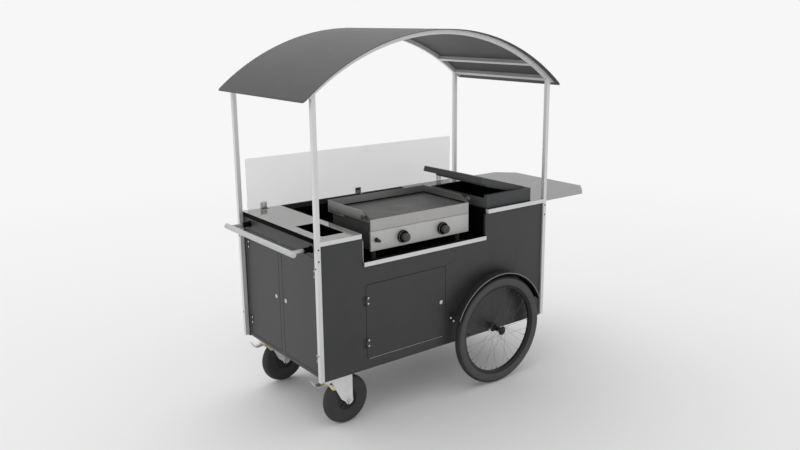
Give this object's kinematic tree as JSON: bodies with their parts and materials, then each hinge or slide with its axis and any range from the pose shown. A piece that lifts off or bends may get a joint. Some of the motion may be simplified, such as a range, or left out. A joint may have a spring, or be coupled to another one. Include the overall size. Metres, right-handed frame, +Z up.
{
  "type": "kitchen push cart",
  "caption": "Street food push cart with arched canopy, stainless worktops, drop-in gas griddle, insulated box, lockable doors, spoked wheels and braked swivel casters.",
  "frame": {"origin": "on the floor, under the middle of the whole outline", "axes": "+X along the cart from the push handle to the side shelf, +Y from the cook's side with the door and knobs to the side with the splash guard, +Z up"},
  "size_m": [2.03, 0.976, 1.9098],
  "materials": {
    "frame_aluminium": "satin anodised",
    "panel_board": "smooth anthracite laminate",
    "bay_lining": "matt black",
    "stainless": "brushed",
    "clear_sheet": "clear with a slight haze",
    "canopy_sheet": "matt grey composite sheet",
    "black_plastic": "fine grain",
    "cooler_foam": "expanded bead foam",
    "tyre_rubber": "matt",
    "foot_rubber": "matt",
    "rim_black": "black anodised",
    "spoke_steel": "drawn wire",
    "caster_core": "moulded",
    "zinc_steel": "bright zinc plate",
    "chassis_steel": "black paint",
    "lock_chrome": "polished",
    "griddle_steel": "dark enamel",
    "cook_plate": "seasoned, matt"
  },
  "bodies": {
    "cart": {"post_front_left": "frame_aluminium", "post_rear_left": "frame_aluminium", "post_front_right": "frame_aluminium", "post_rear_right": "frame_aluminium", "counter_rails": "frame_aluminium", "canopy_ribs": "frame_aluminium", "canopy_cross_rails": "frame_aluminium", "push_handle": "frame_aluminium", "front_panel": "panel_board", "rear_panel": "panel_board", "end_frame": "panel_board", "right_end_panel": "panel_board", "floor_board": "panel_board", "bay_deck": "bay_lining", "bay_walls": "bay_lining", "worktop_left": "stainless", "worktop_right": "stainless", "griddle_fascia": "stainless", "griddle_splash": "stainless", "shelf_brackets": "stainless", "splash_brackets": "stainless", "splash_guard": "clear_sheet", "canopy_sheet": "canopy_sheet", "handle_sockets": "black_plastic", "mudguards": "black_plastic", "cooler_box": "cooler_foam", "griddle_feet": "foot_rubber", "caster_plates": "zinc_steel", "caster_beam": "chassis_steel", "wheel_axle": "chassis_steel", "hinge_leaves": "chassis_steel", "griddle_housing": "griddle_steel", "griddle_plate": "cook_plate", "griddle_burners": "cook_plate"},
    "front_door": {"front_door": "panel_board"},
    "front_door_lock": {"front_door_lock": "lock_chrome"},
    "end_door_front": {"end_door_front": "panel_board"},
    "end_door_front_lock": {"end_door_front_lock": "lock_chrome"},
    "end_door_rear": {"end_door_rear": "panel_board"},
    "end_door_rear_lock": {"end_door_rear_lock": "lock_chrome"},
    "cooler_lid": {"cooler_lid": "cooler_foam"},
    "griddle_knob_left": {"griddle_knob_left": "black_plastic"},
    "griddle_knob_right": {"griddle_knob_right": "black_plastic"},
    "griddle_igniter": {"griddle_igniter": "black_plastic"},
    "wheel_front": {"wheel_front_tyre": "tyre_rubber", "wheel_front_rim": "rim_black", "wheel_front_hub": "rim_black", "wheel_front_spokes": "spoke_steel"},
    "caster_front": {"caster_front_fork": "zinc_steel"},
    "caster_front_wheel": {"caster_front_tyre": "tyre_rubber", "caster_front_core": "caster_core"},
    "caster_front_pedal": {"caster_front_pedal": "zinc_steel"},
    "wheel_rear": {"wheel_rear_tyre": "tyre_rubber", "wheel_rear_rim": "rim_black", "wheel_rear_hub": "rim_black", "wheel_rear_spokes": "spoke_steel"},
    "caster_rear": {"caster_rear_fork": "zinc_steel"},
    "caster_rear_wheel": {"caster_rear_tyre": "tyre_rubber", "caster_rear_core": "caster_core"},
    "caster_rear_pedal": {"caster_rear_pedal": "zinc_steel"}
  },
  "joints": [
    {"name": "front_door_hinge", "type": "hinge", "parent": "cart", "child": "front_door", "pos_m": [-0.644, -0.3943, 0.522], "axis": [0, 0, -1], "range_deg": [0, 120]},
    {"name": "front_door_lock_turn", "type": "hinge", "parent": "front_door", "child": "front_door_lock", "pos_m": [-0.1765, -0.39, 0.522], "axis": [0, 1, 0], "range_deg": [0, 90]},
    {"name": "end_door_front_hinge", "type": "hinge", "parent": "cart", "child": "end_door_front", "pos_m": [-0.8943, -0.347, 0.594], "axis": [0, 0, 1], "range_deg": [0, 110]},
    {"name": "end_door_front_lock_turn", "type": "hinge", "parent": "end_door_front", "child": "end_door_front_lock", "pos_m": [-0.89, -0.048, 0.594], "axis": [-1, 0, 0], "range_deg": [0, 90]},
    {"name": "wheel_front_roll", "type": "hinge", "parent": "cart", "child": "wheel_front", "pos_m": [0.183, -0.444, 0.301], "axis": [0, 1, 0], "continuous": true},
    {"name": "caster_front_swivel", "type": "hinge", "parent": "cart", "child": "caster_front", "pos_m": [-0.795, -0.316, 0.26], "axis": [0, 0, 1], "continuous": true},
    {"name": "caster_front_roll", "type": "hinge", "parent": "caster_front", "child": "caster_front_wheel", "pos_m": [-0.731, -0.316, 0.125], "axis": [0, 1, 0], "continuous": true},
    {"name": "caster_front_brake", "type": "hinge", "parent": "caster_front", "child": "caster_front_pedal", "pos_m": [-0.841, -0.316, 0.238], "axis": [0, -1, 0], "range_deg": [0, 18]},
    {"name": "end_door_rear_hinge", "type": "hinge", "parent": "cart", "child": "end_door_rear", "pos_m": [-0.8943, 0.347, 0.594], "axis": [0, 0, -1], "range_deg": [0, 110]},
    {"name": "end_door_rear_lock_turn", "type": "hinge", "parent": "end_door_rear", "child": "end_door_rear_lock", "pos_m": [-0.89, 0.048, 0.594], "axis": [1, 0, 0], "range_deg": [0, 90]},
    {"name": "wheel_rear_roll", "type": "hinge", "parent": "cart", "child": "wheel_rear", "pos_m": [0.183, 0.444, 0.301], "axis": [0, 1, 0], "continuous": true},
    {"name": "caster_rear_swivel", "type": "hinge", "parent": "cart", "child": "caster_rear", "pos_m": [-0.795, 0.316, 0.26], "axis": [0, 0, 1], "continuous": true},
    {"name": "caster_rear_roll", "type": "hinge", "parent": "caster_rear", "child": "caster_rear_wheel", "pos_m": [-0.731, 0.316, 0.125], "axis": [0, 1, 0], "continuous": true},
    {"name": "caster_rear_brake", "type": "hinge", "parent": "caster_rear", "child": "caster_rear_pedal", "pos_m": [-0.841, 0.316, 0.238], "axis": [0, -1, 0], "range_deg": [0, 18]},
    {"name": "cooler_lid_hinge", "type": "hinge", "parent": "cart", "child": "cooler_lid", "pos_m": [0.44, -0.1365, 1.0283], "axis": [0, 1, 0], "range_deg": [-15, 80]},
    {"name": "griddle_knob_left_turn", "type": "hinge", "parent": "cart", "child": "griddle_knob_left", "pos_m": [-0.376, -0.34, 0.899], "axis": [0, -1, 0], "range_deg": [0, 180]},
    {"name": "griddle_knob_right_turn", "type": "hinge", "parent": "cart", "child": "griddle_knob_right", "pos_m": [-0.12, -0.34, 0.899], "axis": [0, -1, 0], "range_deg": [0, 180]},
    {"name": "griddle_igniter_press", "type": "slide", "parent": "cart", "child": "griddle_igniter", "axis": [0, 1, 0], "range_m": [0, 0.005], "stiffness_N_per_m": 400}
  ]
}
